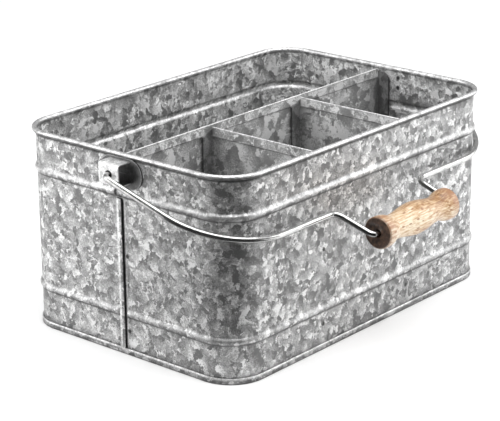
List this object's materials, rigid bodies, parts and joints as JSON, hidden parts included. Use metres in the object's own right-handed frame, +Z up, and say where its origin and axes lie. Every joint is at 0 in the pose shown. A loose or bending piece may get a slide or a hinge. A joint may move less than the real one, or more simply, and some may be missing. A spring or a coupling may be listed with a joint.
{
  "type": "divided caddy with bail handle",
  "caption": "Rounded galvanized sheet-steel caddy with a rolled rim, beaded walls, long and cross dividers, and a swinging wire bail with a turned wooden grip.",
  "frame": {"origin": "middle of the flat underside of the floor pan", "axes": "+Z up, X along the tub's length, -Y towards the side where the bail rests and the short bays are, -X towards the end with the lock seam"},
  "size_m": [0.3344, 0.2542, 0.15],
  "materials": {
    "galvanized_sheet": "hot-dip galvanized, fine bright spangle",
    "galvanized_base": "hot-dip galvanized, fine bright spangle",
    "galvanized_divider": "hot-dip galvanized, fine bright spangle",
    "galvanized_ear": "zinc-coated, dull",
    "bright_wire": "bright zinc-coated drawn wire",
    "turned_wood": "clear-lacquered pale hardwood"
  },
  "bodies": {
    "tub": {"tub_wall": "galvanized_sheet", "floor_pan": "galvanized_base", "long_divider": "galvanized_divider", "cross_divider_left": "galvanized_divider", "cross_divider_right": "galvanized_divider", "ear_left": "galvanized_ear", "ear_right": "galvanized_ear"},
    "bail": {"bail_wire": "bright_wire"},
    "grip": {"grip": "turned_wood"}
  },
  "joints": [
    {"name": "bail_swing", "type": "hinge", "parent": "tub", "child": "bail", "pos_m": [0, 0, 0.1364], "axis": [-1, 0, 0], "range_deg": [0, 215.2]},
    {"name": "grip_spin", "type": "hinge", "parent": "bail", "child": "grip", "pos_m": [0, -0.13899, 0.09231], "axis": [1, 0, 0], "continuous": true}
  ]
}
